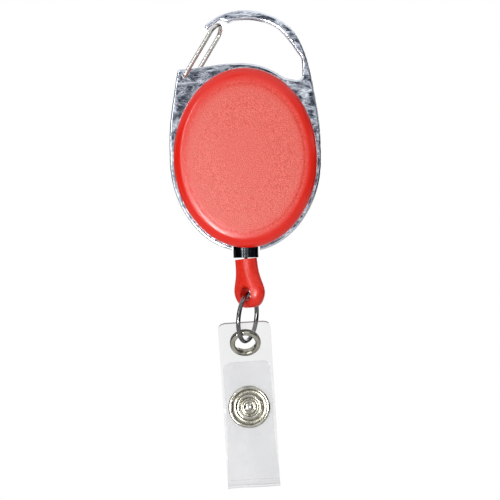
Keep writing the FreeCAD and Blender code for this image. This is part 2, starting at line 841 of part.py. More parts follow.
def make_snap_stud():
    """Stud behind the flap: a flange and a hollow knob that enters the socket."""
    flange = front_layer_y + vinyl_t / 2
    face = flange + snap_flange_t
    tip = face + stud_reach
    return in_strap(turned_y([
        (snap_post_r, flange),
        (socket_r - 0.3, flange),
        (socket_r - 0.3, face),
        (stud_neck_r + 0.2, face),
        (stud_neck_r, face + 0.35),
        (stud_r, tip - 0.55),
        (stud_r - 0.1, tip - 0.15),
        (stud_r - 0.5, tip),
        (0, tip),
        (0, tip - 0.25),
        (snap_post_r, tip - 0.35),
    ], z=-snap_down))


def make_snap_socket():
    """Socket in front of the back layer: a rolled rim, a well and a groove for its spring."""
    face = front_layer_y + vinyl_t / 2 + snap_flange_t + snap_play
    foot = back_layer_y - vinyl_t / 2
    return in_strap(turned_y([
        (stud_r + 0.3, face),
        (socket_r - 0.25, face),
        (socket_r, face + 0.25),
        (socket_r, foot),
        (snap_post_r, foot),
        (snap_post_r, foot - 0.2),
        (socket_well_r + 0.35, foot - 0.2),
        (socket_well_r + 0.35, face + 0.35),
        (stud_r + 0.3, face + 0.35),
    ], z=-snap_down))


def make_snap_spring():
    """Two bowed wires that the stud's knob pushes past."""
    y = front_layer_y + vinyl_t / 2 + snap_flange_t + snap_play + 0.35 + 0.2
    radius = 0.15
    bow = stud_r + radius + 0.12
    half = 1.45
    pieces = []
    for side in (-1, 1):
        top = Vector(side * 1.1, y, half - snap_down)
        middle = Vector(side * bow, y, -snap_down)
        foot = Vector(side * 1.1, y, -half - snap_down)
        pieces.append(wire_sweep([arc(top, middle, foot)], radius))
    return in_strap(Part.makeCompound(pieces))


def make_snap_cap():
    """Smooth cap behind the back layer; its post goes through and holds the socket."""
    skin = back_layer_y + vinyl_t / 2
    foot = back_layer_y - vinyl_t / 2 - 0.2
    return in_strap(turned_y([
        (0, skin + 0.55),
        (0, skin + 0.8),
        (2.6, skin + 0.74),
        (4.0, skin + 0.5),
        (snap_r - 0.1, skin + 0.2),
        (snap_r - 0.15, skin),
        (snap_post_r, skin),
        (snap_post_r, foot),
        (snap_post_r - 0.3, foot),
        (snap_post_r - 0.3, skin + 0.5),
    ], z=-snap_down))


save(make_frame(), "frame")
save(make_front_cover(), "front_cover")
save(make_rear_cover(), "rear_cover")
save(make_ferrule(), "cord_ferrule")
save(make_gate(), "gate_wire")
save(make_spool(), "spool")
save(make_spring_cover(), "spring_cover")
save(make_power_spring(), "power_spring")
save(make_cord_winding(), "cord_winding")
save(make_cord_run(), "cord_run")
save(make_cord_knot(), "cord_knot")
save(make_drop(), "cord_drop")
save(make_ring(), "ring")
save(make_strap_back(), "strap_back")
save(make_strap_fold(), "strap_fold")
save(make_strap_flap(), "strap_flap")
save(make_eyelet(), "eyelet")
save(make_eyelet_washer(), "eyelet_washer")
save(make_snap_ring(), "snap_ring")
save(make_snap_stud(), "snap_stud")
save(make_snap_socket(), "snap_socket")
save(make_snap_spring(), "snap_spring")
save(make_snap_cap(), "snap_cap")
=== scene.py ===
import math

import bmesh
import bpy
from mathutils import Matrix, Vector, noise


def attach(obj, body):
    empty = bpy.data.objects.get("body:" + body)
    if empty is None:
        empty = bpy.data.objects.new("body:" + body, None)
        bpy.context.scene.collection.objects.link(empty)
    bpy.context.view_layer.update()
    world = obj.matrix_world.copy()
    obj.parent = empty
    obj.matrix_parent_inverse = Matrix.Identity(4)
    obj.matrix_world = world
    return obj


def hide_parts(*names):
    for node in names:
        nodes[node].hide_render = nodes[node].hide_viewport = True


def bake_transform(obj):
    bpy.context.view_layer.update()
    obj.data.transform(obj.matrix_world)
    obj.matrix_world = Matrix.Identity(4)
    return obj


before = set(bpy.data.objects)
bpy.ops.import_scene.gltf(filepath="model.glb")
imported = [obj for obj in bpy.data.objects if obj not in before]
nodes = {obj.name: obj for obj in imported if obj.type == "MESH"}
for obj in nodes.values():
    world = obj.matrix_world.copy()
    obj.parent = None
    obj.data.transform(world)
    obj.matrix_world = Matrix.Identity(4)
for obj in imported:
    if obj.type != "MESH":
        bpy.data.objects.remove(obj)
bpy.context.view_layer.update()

scene = bpy.context.scene
mm = 0.001

# ---------------------------------------------------------------- camera
# A long lens, square on to the front of the reel and half a metre away.
# It is rolled a touch, as the reel hangs a degree out of upright.
view_distance = 0.50
view_width = 0.1133
sensor = 36.0
view_roll = 1.3
camera_data = bpy.data.cameras.new("camera")
camera_data.sensor_width = sensor
camera_data.lens = sensor * view_distance / view_width
camera = bpy.data.objects.new("camera", camera_data)
camera.location = (0.55 * mm, -view_distance, -52.2 * mm)
camera.rotation_euler = (math.radians(90), math.radians(view_roll), 0)
scene.collection.objects.link(camera)
scene.camera = camera

# ---------------------------------------------------------------- cord
# The pulled end of a braided nylon cord, 0.8 mm thick: off the winding, over
# the lip of the ferrule and down into the drop, where a ball knot stops it.
cord_r = 0.4
cord_route = [
    (-12.187, 0.0, -31.9),
    (-10.9, 0.0, -36.0),
    (-7.2, 0.0, -42.6),
    (-3.0, 0.0, -46.9),
    (-0.55, 0.0, -49.1),
    (-0.4, 0.0, -51.2),
    (-0.4, 0.0, -53.0),
    (-0.4, 0.0, -54.3),
    (-0.27, 0.0, -55.8),
    (-0.08, 0.0, -57.9),
]


def put_object(name, mesh, smooth=True):
    """A mesh in metres becomes a piece of the scene."""
    thing = bpy.data.objects.new(name, mesh)
    scene.collection.objects.link(thing)
    mesh.polygons.foreach_set("use_smooth", [smooth] * len(mesh.polygons))
    mesh.update()
    return thing


def tube_along(name, route, radius, steps=12, sides=5):
    """A round tube on one smooth line, given in millimetres, as a mesh in metres."""
    line = bpy.data.curves.new(name + "_line", "CURVE")
    line.dimensions = "3D"
    spline = line.splines.new("NURBS")
    spline.points.add(len(route) - 1)
    for point, place in zip(spline.points, route):
        point.co = [value * mm for value in place] + [1.0]
    spline.order_u = 3
    spline.use_endpoint_u = True
    spline.resolution_u = steps
    line.bevel_depth = radius * mm
    line.bevel_resolution = sides
    line.use_fill_caps = True
    holder = bpy.data.objects.new(name + "_line", line)
    scene.collection.objects.link(holder)
    bpy.context.view_layer.update()
    shaped = holder.evaluated_get(bpy.context.evaluated_depsgraph_get())
    mesh = bpy.data.meshes.new_from_object(shaped)
    mesh.name = name
    bpy.data.objects.remove(holder)
    bpy.data.curves.remove(line)
    return put_object(name, mesh)


def new_material(name, **sockets):
    """A named finish with its constants set on the shader's own sockets."""
    material = bpy.data.materials.new(name)
    material.use_nodes = True
    shader = material.node_tree.nodes["Principled BSDF"]
    for socket, value in sockets.items():
        shader.inputs[socket.replace("_", " ")].default_value = value
    return material


def add_node(material, kind, **settings):
    """A node of a finish; settings with capitals are its sockets, the rest its options."""
    node = material.node_tree.nodes.new(kind)
    for key, value in settings.items():
        if key[0].isupper():
            node.inputs[key.replace("_", " ")].default_value = value
        else:
            setattr(node, key, value)
    return node


def wire(material, source, target):
    """Joins one node of a finish to the next."""
    material.node_tree.links.new(source, target)


def tint(material, value, dark, light, start=0.35, end=0.65):
    """Turns a grain into a colour between two shades."""
    ramp = add_node(material, "ShaderNodeValToRGB")
    ramp.color_ramp.elements[0].position = start
    ramp.color_ramp.elements[0].color = (*dark, 1)
    ramp.color_ramp.elements[1].position = end
    ramp.color_ramp.elements[1].color = (*light, 1)
    wire(material, value, ramp.inputs["Fac"])
    return ramp.outputs["Color"]


def emboss(material, height, depth, strength=1.0, under=None):
    """Small relief of the given depth in metres; under is another relief below it."""
    relief = add_node(material, "ShaderNodeBump", Strength=strength, Distance=depth)
    wire(material, height, relief.inputs["Height"])
    if under is not None:
        wire(material, under, relief.inputs["Normal"])
    return relief.outputs["Normal"]


def give(material, **links):
    """Joins worked-out values to the sockets of a finish's shader."""
    shader = material.node_tree.nodes["Principled BSDF"]
    for socket, source in links.items():
        wire(material, source, shader.inputs[socket.replace("_", " ")])


def finish_nodes(material, *names):
    """Gives the moulded or machined pieces that keep their own shape a finish."""
    for name in names:
        mesh = nodes[name].data
        if not mesh.materials:
            mesh.materials.append(material)
        for index in range(len(mesh.materials)):
            mesh.materials[index] = material


braid = new_material("red_braid", Roughness=0.75, Sheen_Weight=0.3)
plait = add_node(
    braid,
    "ShaderNodeTexWave",
    wave_type="BANDS",
    bands_direction="DIAGONAL",
    Scale=900,
    Distortion=1.5,
)
plait_place = add_node(braid, "ShaderNodeTexCoord")
wire(braid, plait_place.outputs["Object"], plait.inputs["Vector"])
give(
    braid,
    Base_Color=tint(braid, plait.outputs["Fac"], (0.25, 0.012, 0.01), (0.55, 0.03, 0.02), 0.2, 0.7),
    Normal=emboss(braid, plait.outputs["Fac"], 0.08 * mm, 0.8),
)
cord_tube = tube_along("cord_line", cord_route, cord_r, steps=10)
cord_tube.data.materials.append(braid)
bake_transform(cord_tube)
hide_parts("cord_run")
finish_nodes(braid, "cord_winding", "cord_knot")

# ---------------------------------------------------------------- studio
# White surroundings, a pale floor far below the hanging reel, and four soft
# boxes, one of which only lights gloss. Two dark cards, seen only in
# reflections, give the plating its depth.
world = bpy.data.worlds.new("studio")
world.use_nodes = True
world.node_tree.nodes.clear()
scene.world = world
scene.view_settings.view_transform = "Standard"


def surround(strength):
    """White surroundings of an even strength."""
    return add_node(world, "ShaderNodeBackground", Color=(1, 1, 1, 1), Strength=strength)


def either(switch, first, second):
    """The second surroundings for the rays that the switch picks, the first for the rest."""
    mixed = add_node(world, "ShaderNodeMixShader")
    wire(world, switch, mixed.inputs["Fac"])
    wire(world, first.outputs[0], mixed.inputs[1])
    wire(world, second.outputs[0], mixed.inputs[2])
    return mixed


# What polished metal mirrors: dark at eye level, broken up, and bright above and below.
mirror_dark = (0.012, 0.015, 0.022)
mirror_bright = (0.95, 0.97, 1.0)
height_share = 0.55
rays = add_node(world, "ShaderNodeLightPath")
mirrored = surround(1.0)
mirror_place = add_node(world, "ShaderNodeTexCoord")
mirror_noise = add_node(world, "ShaderNodeTexNoise", Scale=3.2, Detail=1.0)
mirror_split = add_node(world, "ShaderNodeSeparateXYZ")
mirror_height = add_node(world, "ShaderNodeMath", operation="ABSOLUTE")
mirror_sum = add_node(world, "ShaderNodeMath", operation="MULTIPLY_ADD")
mirror_sum.inputs[1].default_value = height_share
wire(world, mirror_place.outputs["Generated"], mirror_noise.inputs["Vector"])
wire(world, mirror_place.outputs["Generated"], mirror_split.inputs["Vector"])
wire(world, mirror_split.outputs["Z"], mirror_height.inputs[0])
wire(world, mirror_height.outputs[0], mirror_sum.inputs[0])
wire(world, mirror_noise.outputs["Fac"], mirror_sum.inputs[2])
mirror_colour = tint(world, mirror_sum.outputs[0], mirror_dark, mirror_bright, 0.66, 0.78)
wire(world, mirror_colour, mirrored.inputs["Color"])
lit = either(rays.outputs["Is Glossy Ray"], surround(0.54), mirrored)
seen = either(rays.outputs["Is Camera Ray"], lit, surround(1.0))
world_end = add_node(world, "ShaderNodeOutputWorld")
wire(world, seen.outputs[0], world_end.inputs["Surface"])
reel_middle = Vector((0, 0, -0.045))


def soft_box(name, place, size, watts):
    """An area light of a size in metres, aimed at the middle of the reel."""
    data = bpy.data.lights.new(name, "AREA")
    data.shape = "RECTANGLE"
    data.size, data.size_y = size
    data.energy = watts
    light = bpy.data.objects.new(name, data)
    light.location = place
    light.rotation_euler = (reel_middle - Vector(place)).to_track_quat("-Z", "Y").to_euler()
    scene.collection.objects.link(light)
    return light


soft_box("near_box", (-0.10, -0.48, -0.12), (0.07, 0.07), 0.58)
soft_box("strip_box", (-0.33, -0.50, -0.03), (0.035, 0.55), 1.1)
glow_box = soft_box("glow_box", (-0.13, -0.46, -0.22), (0.10, 0.10), 0.9)
glow_box.visible_diffuse = False
soft_box("behind_box", (0.25, 0.60, 0.10), (0.30, 0.30), 0.8)


def grain(material, per_metre, detail=2.0, roughness=0.5, stretch=(1, 1, 1)):
    """Fine even noise fixed to the piece; per_metre is how many grains fit in a metre."""
    place = add_node(material, "ShaderNodeTexCoord")
    scaled = add_node(material, "ShaderNodeMapping", Scale=stretch)
    speck = add_node(
        material, "ShaderNodeTexNoise", Scale=per_metre, Detail=detail, Roughness=roughness
    )
    wire(material, place.outputs["Object"], scaled.inputs["Vector"])
    wire(material, scaled.outputs["Vector"], speck.inputs["Vector"])
    return speck.outputs["Fac"]


def plane_mesh(name, width, height):
    """A flat rectangle in metres about its own middle."""
    mesh = bpy.data.meshes.new(name)
    w, h = width / 2, height / 2
    mesh.from_pydata([(-w, -h, 0), (w, -h, 0), (w, h, 0), (-w, h, 0)], [], [(0, 1, 2, 3)])
    return mesh


def reflection_card(name, place, size, dark, light):
    """A card seen only in polished metal: dark in the middle, with a ragged bright border."""
    raggedness = 0.26
    card = put_object(name, plane_mesh(name, *size), smooth=False)
    card.location = place
    card.rotation_euler = (reel_middle - Vector(place)).to_track_quat("Z", "Y").to_euler()
    shade = bpy.data.materials.new(name)
    shade.use_nodes = True
    shade.node_tree.nodes.clear()
    glow = add_node(shade, "ShaderNodeEmission", Strength=1.0)
    end = add_node(shade, "ShaderNodeOutputMaterial")
    card_place = add_node(shade, "ShaderNodeTexCoord")
    card_oval = add_node(shade, "ShaderNodeMapping", Scale=(1.15, 0.55, 1))
    from_centre = add_node(shade, "ShaderNodeVectorMath", operation="LENGTH")
    wire(shade, card_place.outputs["Object"], card_oval.inputs["Vector"])
    wire(shade, card_oval.outputs["Vector"], from_centre.inputs[0])
    ragged = add_node(shade, "ShaderNodeMath", operation="MULTIPLY_ADD")
    ragged.inputs[1].default_value = raggedness
    wire(shade, grain(shade, 15.0, 3.0), ragged.inputs[0])
    wire(shade, from_centre.outputs["Value"], ragged.inputs[2])
    border = tint(shade, ragged.outputs[0], dark, light, 0.185, 0.215)
    wire(shade, border, glow.inputs["Color"])
    wire(shade, glow.outputs["Emission"], end.inputs["Surface"])
    card.data.materials.append(shade)
    card.visible_camera = False
    card.visible_diffuse = False
    card.visible_transmission = False
    card.visible_shadow = False
    return card


ink = (0.022, 0.032, 0.052)
pearl = (1.0, 1.02, 1.06)
card_size = (0.80, 1.0)
reflection_card("card_front", (0.0, -1.0, 0.03), card_size, ink, pearl)
reflection_card("card_back", (0.0, 1.0, 0.03), card_size, ink, pearl)

floor_size = 3.0
floor_drop = 0.76
floor = put_object("floor", plane_mesh("floor", floor_size, floor_size), smooth=False)
floor.location = (0, 0, -floor_drop)
floor_paint = new_material("floor_paint", Roughness=0.7)
give(
    floor_paint,
    Base_Color=tint(floor_paint, grain(floor_paint, 40), (0.93, 0.93, 0.93), (0.95, 0.95, 0.95)),
)
floor.data.materials.append(floor_paint)

# ---------------------------------------------------------------- frame
# One zinc die casting, the hook and the rim in one plate 3.2 mm thick,
# polished and chrome plated, so it keeps a faint orange-peel ripple.


def spread(material, value, low, high, start=0.3, end=0.7):
    """Turns a grain into a number between low and high."""
    span = add_node(
        material, "ShaderNodeMapRange", From_Min=start, From_Max=end, To_Min=low, To_Max=high
    )
    wire(material, value, span.inputs["Value"])
    return span.outputs["Result"]


chrome = new_material("bright_chrome", Metallic=1.0, Specular_IOR_Level=0.6)
ripple = emboss(chrome, grain(chrome, 300, 1.0, 0.5, (0.6, 1, 1.5)), 0.28 * mm, 0.5)
pits = emboss(chrome, grain(chrome, 1100, 2.0, 0.6, (0.5, 1, 1.6)), 0.04 * mm, 0.7, ripple)
give(
    chrome,
    Base_Color=tint(chrome, grain(chrome, 500), (0.66, 0.70, 0.78), (0.84, 0.87, 0.93)),
    Roughness=spread(chrome, grain(chrome, 900), 0.03, 0.12),
    Normal=pits,
)
finish_nodes(chrome, "frame")

# ---------------------------------------------------------------- gate
# The hook's gate is one spring wire of 1 mm, bent to a narrow loop; its feet
# are sprung into holes in the frame's shoulder, one above the other.
steel = new_material("drawn_spring_steel", Metallic=1.0)
give(
    steel,
    Base_Color=tint(steel, grain(steel, 900), (0.62, 0.60, 0.55), (0.78, 0.76, 0.71)),
    Roughness=spread(steel, grain(steel, 2500, 2.0, 0.5, (1, 1, 0.1)), 0.10, 0.26),
    Normal=emboss(steel, grain(steel, 3000, 2.0, 0.5, (1, 1, 0.08)), 0.02 * mm, 0.4),
)
finish_nodes(steel, "gate_wire", "power_spring", "snap_spring")

# ---------------------------------------------------------------- covers
# Two oval shells moulded in translucent red plastic: a glossy rounded band
# runs round a slightly pillowed face with a fine spark-eroded texture.
body_z = -31.4
pad_half_w = 13.3
pad_half_h = 16.67
shell = new_material("red_shell", Specular_IOR_Level=0.5, Coat_Weight=0.10, Coat_Roughness=0.06)
shell_place = add_node(shell, "ShaderNodeTexCoord")
shell_oval = add_node(
    shell,
    "ShaderNodeMapping",
    Scale=(1 / (pad_half_w * mm), 0, 1 / (pad_half_h * mm)),
    Location=(0, 0, -body_z / pad_half_h),
)
from_middle = add_node(shell, "ShaderNodeVectorMath", operation="LENGTH")
wire(shell, shell_place.outputs["Object"], shell_oval.inputs["Vector"])
wire(shell, shell_oval.outputs["Vector"], from_middle.inputs[0])
# On the pillowed face the red is painted lighter and whiter, with pale specks: painted sheen and
# glints over the plastic's own red; the band keeps the deep red.
on_face = spread(shell, from_middle.outputs["Value"], 1.0, 0.0, 0.90, 1.12)
sparkle = grain(shell, 4000, 2.0, 0.65)
face_red_and_painted_sheen = tint(shell, sparkle, (0.72, 0.060, 0.036), (0.92, 0.170, 0.125), 0.42, 0.66)
shell_red_and_painted_sheen = add_node(shell, "ShaderNodeMix", data_type="RGBA")
shell_red_and_painted_sheen.inputs["A"].default_value = (0.80, 0.012, 0.002, 1)
wire(shell, on_face, shell_red_and_painted_sheen.inputs["Factor"])
wire(shell, face_red_and_painted_sheen, shell_red_and_painted_sheen.inputs[7])
shell_gloss = add_node(shell, "ShaderNodeMix", data_type="FLOAT")
shell_gloss.inputs[2].default_value = 0.22
wire(shell, on_face, shell_gloss.inputs[0])
wire(shell, spread(shell, sparkle, 0.22, 0.40), shell_gloss.inputs[3])
# The crease round the pad is rounded in the shading only.
soft_edge = add_node(shell, "ShaderNodeBevel", samples=8, Radius=0.8 * mm)
etched = add_node(shell, "ShaderNodeBump", Distance=0.11 * mm)
wire(shell, soft_edge.outputs["Normal"], etched.inputs["Normal"])
wire(shell, sparkle, etched.inputs["Height"])
wire(shell, spread(shell, on_face, 0.04, 0.85, 0, 1), etched.inputs["Strength"])
give(
    shell,
    Base_Color=shell_red_and_painted_sheen.outputs[2],
    Roughness=shell_gloss.outputs[0],
    Normal=etched.outputs["Normal"],
)
finish_nodes(shell, "front_cover", "rear_cover")

# ---------------------------------------------------------------- ferrule
# A turned brass collar, chrome plated, that guides the cord out of the reel;
# its flange is trapped in a recess between the two covers. Its near-black
# colour is a painted dark reflection.
dark_chrome = new_material("dark_chrome", Metallic=1.0)
give(
    dark_chrome,
    # Painted dark reflection: the collar's chrome is set near black.
    Base_Color=tint(
        dark_chrome, grain(dark_chrome, 800), (0.045, 0.05, 0.055), (0.08, 0.085, 0.095)
    ),
    Roughness=spread(dark_chrome, grain(dark_chrome, 2000, 2.0, 0.5, (1, 1, 6)), 0.08, 0.2),
    Normal=emboss(dark_chrome, grain(dark_chrome, 1500, 2.0, 0.5, (0.2, 0.2, 5)), 0.015 * mm, 0.5),
)
finish_nodes(dark_chrome, "cord_ferrule")

# ---------------------------------------------------------------- spool
# Spool and spring cover are moulded in natural acetal; the spring lies in
# the drum and the cord is wound in the groove round it.
acetal = new_material("natural_acetal", Subsurface_Weight=0.1, Subsurface_Scale=0.001)
give(
    acetal,
    Base_Color=tint(acetal, grain(acetal, 300), (0.78, 0.77, 0.73), (0.86, 0.85, 0.82)),
    Roughness=spread(acetal, grain(acetal, 1500), 0.32, 0.5),
    Normal=emboss(acetal, grain(acetal, 5000), 0.01 * mm, 0.4),
)
finish_nodes(acetal, "spool", "spring_cover")

# ---------------------------------------------------------------- drop
# The cord's end piece, a flattened drop moulded in the same red plastic,
# satin, with a flared eye near its foot for the ring.
drop_red = new_material("satin_red", Specular_IOR_Level=0.4, Coat_Weight=0.06, Coat_Roughness=0.15)
give(
    drop_red,
    Base_Color=tint(drop_red, grain(drop_red, 900), (0.72, 0.014, 0.003), (0.82, 0.024, 0.007)),
    Roughness=spread(drop_red, grain(drop_red, 2200), 0.24, 0.38),
    Normal=emboss(drop_red, grain(drop_red, 2600), 0.02 * mm, 0.35),
)
finish_nodes(drop_red, "cord_drop")

# ---------------------------------------------------------------- ring
# A split ring of nickel-plated wire, 1 mm thick, threaded through the eye
# of the drop and the strap's eyelet.
ring_nickel_painted_dark = new_material("nickel_wire", Metallic=1.0)
give(
    ring_nickel_painted_dark,
    # The wire is painted near black: painted dark reflection, as plated nickel itself is far
    # lighter.
    Base_Color=tint(ring_nickel_painted_dark, grain(ring_nickel_painted_dark, 900), (0.13, 0.13, 0.13), (0.24, 0.235, 0.23)),
    Roughness=spread(ring_nickel_painted_dark, grain(ring_nickel_painted_dark, 3000), 0.06, 0.18),
    Normal=emboss(ring_nickel_painted_dark, grain(ring_nickel_painted_dark, 1200), 0.02 * mm, 0.3),
)
finish_nodes(ring_nickel_painted_dark, "ring")

# ---------------------------------------------------------------- strap
# One strip of clear vinyl, half a millimetre thick: the back layer carries the
# eyelet and the snap's socket, then it folds up at its foot into the flap.
strap_lean = -2.3
strap_tilt = 33.0
eyelet_place = Vector((-1.000, 0.0, -73.161))
strap_frame = Matrix.Translation(eyelet_place) @ Matrix.Rotation(math.radians(strap_lean), 4, "Y")
eyelet_frame = strap_frame @ Matrix.Rotation(math.radians(strap_tilt), 4, "X")
vinyl_t = 0.5
strap_w = 11.9
flap_w = 10.8
strap_top = 5.6
strap_flat = 3.7
bend_r = 5.0
fold_r = 1.45
back_y = 2.82
front_y = -0.08
fold_z = -31.3
flap_top = -4.3
snap_z = -14.6
corner_r = 1.6
barrel_hole_r = 2.65
rivet_hole_r = 1.0
strip_wave = 0.05
flap_wave = 0.16
flap_taper = 9.0


def side_line(points, step):
    """Even points along a side view of the strip, as (y, z) pairs."""
    out = [points[0]]
    for (ya, za), (yb, zb) in zip(points, points[1:]):
        run = math.hypot(yb - ya, zb - za)
        pieces = max(1, round(run / step))
        for index in range(1, pieces + 1):
            t = index / pieces
            out.append((ya + (yb - ya) * t, za + (zb - za) * t))
    return out


def vinyl_strip(name, side, half_widths, ripple, holes=()):
    """A thick strip on a side line; half_widths gives its half width at each point along it."""
    across = 24
    wave_across, wave_along, wave_row = 0.16, 0.12, 3.1
    cut_depth = 6
    edge_round = 0.08
    bm = bmesh.new()
    grid = []
    for row, (y, z) in enumerate(side):
        a = side[max(row - 1, 0)]
        b = side[min(row + 1, len(side) - 1)]
        along = Vector((0, b[0] - a[0], b[1] - a[1])).normalized()
        normal = along.cross(Vector((1, 0, 0)))
        half = half_widths[row]
        line = []
        for column in range(across + 1):
            x = half * math.sin(math.pi / 2 * (2 * column / across - 1))
            wave = ripple * noise.noise(Vector((x * wave_across, wave_row, z * wave_along)))
            line.append(bm.verts.new(Vector((x, y, z)) + normal * wave))
        grid.append(line)
    for lower, upper in zip(grid, grid[1:]):
        for column in range(across):
            bm.faces.new((lower[column], lower[column + 1], upper[column + 1], upper[column]))
    bmesh.ops.recalc_face_normals(bm, faces=bm.faces)
    mesh = bpy.data.meshes.new(name)
    bm.to_mesh(mesh)
    bm.free()
    piece = put_object(name, mesh)
    thick = piece.modifiers.new("thickness", "SOLIDIFY")
    thick.thickness = vinyl_t
    thick.offset = 0
    thick.use_even_offset = True
    for radius, centre, direction in holes:
        turned = direction.to_track_quat("Z", "X").to_matrix().to_4x4()
        cutter_bm = bmesh.new()
        bmesh.ops.create_cone(
            cutter_bm,
            cap_ends=True,
            segments=64,
            radius1=radius,
            radius2=radius,
            depth=cut_depth,
            matrix=Matrix.Translation(centre) @ turned,
        )
        cutter_mesh = bpy.data.meshes.new("cutter")
        cutter_bm.to_mesh(cutter_mesh)
        cutter_bm.free()
        cutter = bpy.data.objects.new("cutter", cutter_mesh)
        scene.collection.objects.link(cutter)
        cut = piece.modifiers.new("hole", "BOOLEAN")
        cut.operation = "DIFFERENCE"
        cut.solver = "EXACT"
        cut.object = cutter
    edge = piece.modifiers.new("edge", "BEVEL")
    edge.width = edge_round
    edge.segments = 2
    edge.limit_method = "ANGLE"
    edge.angle_limit = math.radians(50)
    bpy.context.view_layer.update()
    shaped = piece.evaluated_get(bpy.context.evaluated_depsgraph_get())
    done = bpy.data.meshes.new_from_object(shaped)
    for modifier in list(piece.modifiers):
        if modifier.type == "BOOLEAN":
            bpy.data.objects.remove(modifier.object)
    piece.modifiers.clear()
    done.transform(Matrix.Scale(mm, 4) @ strap_frame)
    piece.data = done
    done.name = name
    done.polygons.foreach_set("use_smooth", [True] * len(done.polygons))
    done.set_sharp_from_angle(angle=math.radians(40))
    return piece


def rounded_ends(side, half, radius, at_start):
    """Half widths along a side line whose free end has two rounded corners."""
    lengths = [0.0]
    for a, b in zip(side, side[1:]):
        lengths.append(lengths[-1] + math.hypot(b[0] - a[0], b[1] - a[1]))
    out = []
    for length in lengths:
        far = length if at_start else lengths[-1] - length
        short = max(0.0, 1 - far / radius)
        out.append(half - radius * (1 - math.sqrt(max(0.0, 1 - short ** 2))))
    return out


lean = math.radians(strap_tilt)
top_end = (-strap_top * math.sin(lean), strap_top * math.cos(lean))
bend_start = (strap_flat * math.sin(lean), -strap_flat * math.cos(lean))
bend_centre = (bend_start[0] - bend_r * math.cos(lean), bend_start[1] - bend_r * math.sin(lean))
bend_steps = 8
bend_points = []
for step in range(bend_steps + 1):
    angle = lean * (1 - step / bend_steps)
    bend_points.append(
        (bend_centre[0] + bend_r * math.cos(angle), bend_centre[1] + bend_r * math.sin(angle))
    )
strip_step = 0.2
back_side = side_line([top_end] + bend_points + [(back_y, fold_z)], strip_step)
fold_steps = 12
fold_points = []
fold_middle = (back_y + front_y) / 2
for step in range(fold_steps + 1):
    angle = math.pi * step / fold_steps
    fold_points.append((fold_middle + fold_r * math.cos(angle), fold_z - fold_r * math.sin(angle)))
flap_side = side_line(fold_points + [(front_y, flap_top)], strip_step)

vinyl = new_material(
    "clear_vinyl",
    IOR=1.45,
    Specular_IOR_Level=0.6,
    Coat_Weight=0.5,
    Coat_Roughness=0.05,
)
skim = add_node(vinyl, "ShaderNodeLayerWeight", Blend=0.35)
cloud = grain(vinyl, 160, 2.0, 0.55, (1, 1, 0.5))
give(
    vinyl,
    Base_Color=tint(vinyl, cloud, (0.36, 0.37, 0.40), (0.50, 0.51, 0.53)),
    Alpha=spread(vinyl, skim.outputs["Facing"], 0.125, 0.62, 0.30, 0.95),
    Roughness=spread(vinyl, grain(vinyl, 500), 0.06, 0.22),
    Normal=emboss(vinyl, grain(vinyl, 240, 2.0), 0.40 * mm, 0.55),
)
strap_back = vinyl_strip(
    "strap_back_layer",
    back_side,
    rounded_ends(back_side, strap_w / 2, corner_r, True),
    strip_wave,
    [
        (barrel_hole_r, Vector((0, 0, 0)), Vector((0, math.cos(lean), math.sin(lean)))),
        (rivet_hole_r, Vector((0, back_y, snap_z)), Vector((0, 1, 0))),
    ],
)
flap_widths = rounded_ends(flap_side, flap_w / 2, corner_r, False)
for row, (y, z) in enumerate(flap_side):
    taper = min(1.0, max(0.0, (z - fold_z) / flap_taper))
    flap_widths[row] += (strap_w - flap_w) / 2 * (1 - taper)
strap_flap = vinyl_strip(
    "strap_folded_flap",
    flap_side,
    flap_widths,
    flap_wave,
    [(rivet_hole_r, Vector((0, front_y, snap_z)), Vector((0, 1, 0)))],
)
for layer in (strap_back, strap_flap):
    layer.data.materials.clear()
    layer.data.materials.append(vinyl)
# The back layer's top cut edge is painted dark grey: painted shade along the clear edge.
cut_edge_painted_shade = new_material("cut_vinyl_edge_painted_shade", Alpha=0.8, Specular_IOR_Level=0.4)
give(
    cut_edge_painted_shade,
    Base_Color=tint(cut_edge_painted_shade, grain(cut_edge_painted_shade, 900), (0.10, 0.10, 0.11), (0.22, 0.22, 0.24)),
    Roughness=spread(cut_edge_painted_shade, grain(cut_edge_painted_shade, 2500), 0.3, 0.6),
)
strap_back.data.materials.append(cut_edge_painted_shade)
strap_up = (strap_frame.to_3x3() @ Vector((0, -math.sin(lean), math.cos(lean)))).normalized()
edge_reach = 1.9
top_height = (strap_frame @ Vector((0, top_end[0], top_end[1] - edge_reach))).z * mm
for face in strap_back.data.polygons:
    if face.normal.dot(strap_up) > 0.6 and face.center.z > top_height:
        face.material_index = 1
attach(strap_back, "strap")
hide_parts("strap_back")
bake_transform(strap_flap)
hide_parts("strap_fold", "strap_flap")

# ---------------------------------------------------------------- eyelet
# A two-part eyelet, stamped from nickel-plated brass: the barrel is rolled
# over a washer behind the vinyl.
nickel = new_material("stamped_nickel", Metallic=1.0)
give(
    nickel,
    Base_Color=tint(nickel, grain(nickel, 700), (0.42, 0.405, 0.345), (0.62, 0.60, 0.53)),
    Roughness=spread(nickel, grain(nickel, 2500), 0.05, 0.14),
    Normal=emboss(nickel, grain(nickel, 900, 2.0), 0.03 * mm, 0.35),
)


